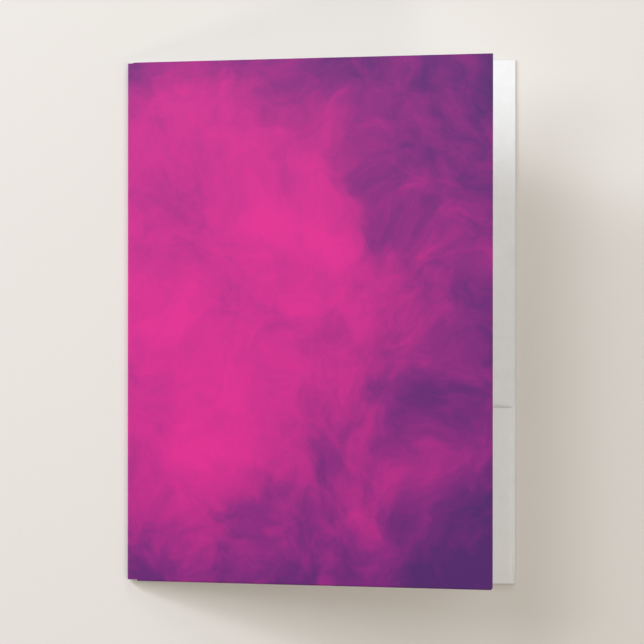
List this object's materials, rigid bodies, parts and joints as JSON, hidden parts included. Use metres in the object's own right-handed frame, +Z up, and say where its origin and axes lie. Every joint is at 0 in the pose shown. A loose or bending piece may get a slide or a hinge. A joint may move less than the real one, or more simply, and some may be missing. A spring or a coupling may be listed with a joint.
{
  "type": "document folder",
  "caption": "Document folder of folded printed card, lying with its front cover ajar, with a glued pocket inside each cover and slits for a business card.",
  "frame": {"origin": "centre of the folder's footprint, at the height of the surface that the back cover lies on", "axes": "+X from the spine to the free edges, +Y from the pockets' bottom folds to the top edges, +Z up from the back cover to the front cover"},
  "size_m": [0.2286, 0.3048, 0.0602],
  "materials": {
    "printed_card": "satin printed outside, white inside",
    "white_card": "matt uncoated white",
    "dried_glue": "dried clear glue"
  },
  "bodies": {
    "back_half": {"back_cover": "printed_card", "back_pocket": "white_card", "back_pocket_bottom_fold": "white_card", "back_pocket_edge_fold": "white_card", "back_pocket_glue_tab": "white_card", "back_pocket_glue_line": "dried_glue", "spine_fold": "printed_card"},
    "front_half": {"front_cover": "printed_card", "front_pocket": "white_card", "front_pocket_bottom_fold": "white_card", "front_pocket_edge_fold": "white_card", "front_pocket_glue_tab": "white_card", "front_pocket_glue_line": "dried_glue"}
  },
  "joints": [
    {"name": "spine_hinge", "type": "hinge", "parent": "back_half", "child": "front_half", "pos_m": [-0.1126, 0, 0.0017], "axis": [0, -1, 0], "range_deg": [-14.1, 165.5], "deforming": ["spine_fold"]}
  ]
}
